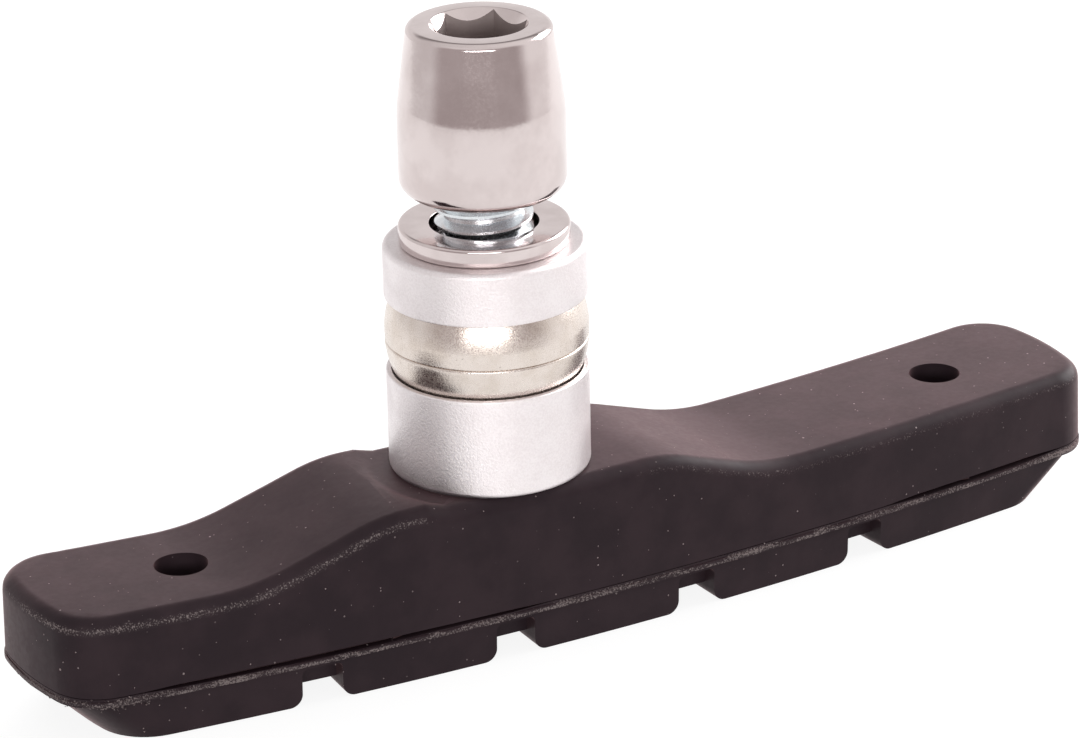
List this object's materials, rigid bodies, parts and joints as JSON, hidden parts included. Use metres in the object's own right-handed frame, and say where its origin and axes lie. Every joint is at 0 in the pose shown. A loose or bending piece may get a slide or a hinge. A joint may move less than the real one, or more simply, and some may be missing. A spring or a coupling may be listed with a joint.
{
  "type": "bicycle rim brake pad",
  "caption": "Curved rubber brake pad with grooved friction blocks, on a threaded stud with cup and dome washers, a flat washer and a tapered barrel nut with a hexagon socket.",
  "frame": {"origin": "where the stud axis meets the plane of the friction face", "axes": "+Z along the stud away from the friction face, +X along the pad towards its long end, +Y across the pad towards the centre of its curve"},
  "size_m": [0.0736, 0.0144, 0.0381],
  "materials": {
    "moulded_rubber": "moulded, satin, with flash at the parting line",
    "plate_steel": "plain rolled",
    "zinc_plated_steel": "bright zinc plated",
    "blasted_aluminium": "blasted, matt",
    "yellow_plated_steel": "pale yellow zinc plated, tumbled",
    "nickel_plated_steel": "bright nickel plated, lightly handled"
  },
  "bodies": {
    "pad_and_stud": {"rubber_pad": "moulded_rubber", "backing_plate": "plate_steel", "stud": "zinc_plated_steel", "thick_cup_washer": "blasted_aluminium", "thin_cup_washer": "blasted_aluminium", "flat_washer": "nickel_plated_steel"},
    "dome_washers": {"lower_dome_washer": "yellow_plated_steel", "upper_dome_washer": "yellow_plated_steel"},
    "nut": {"barrel_nut": "nickel_plated_steel"}
  },
  "joints": [
    {"name": "toe_in_swivel", "type": "hinge", "parent": "pad_and_stud", "child": "dome_washers", "pos_m": [0, 0, 0.019], "axis": [0, 1, 0], "range_deg": [-8, 8]},
    {"name": "nut_travel", "type": "slide", "parent": "pad_and_stud", "child": "nut", "axis": [0, 0, 1], "range_m": [-0.00195, 0.0039]}
  ]
}
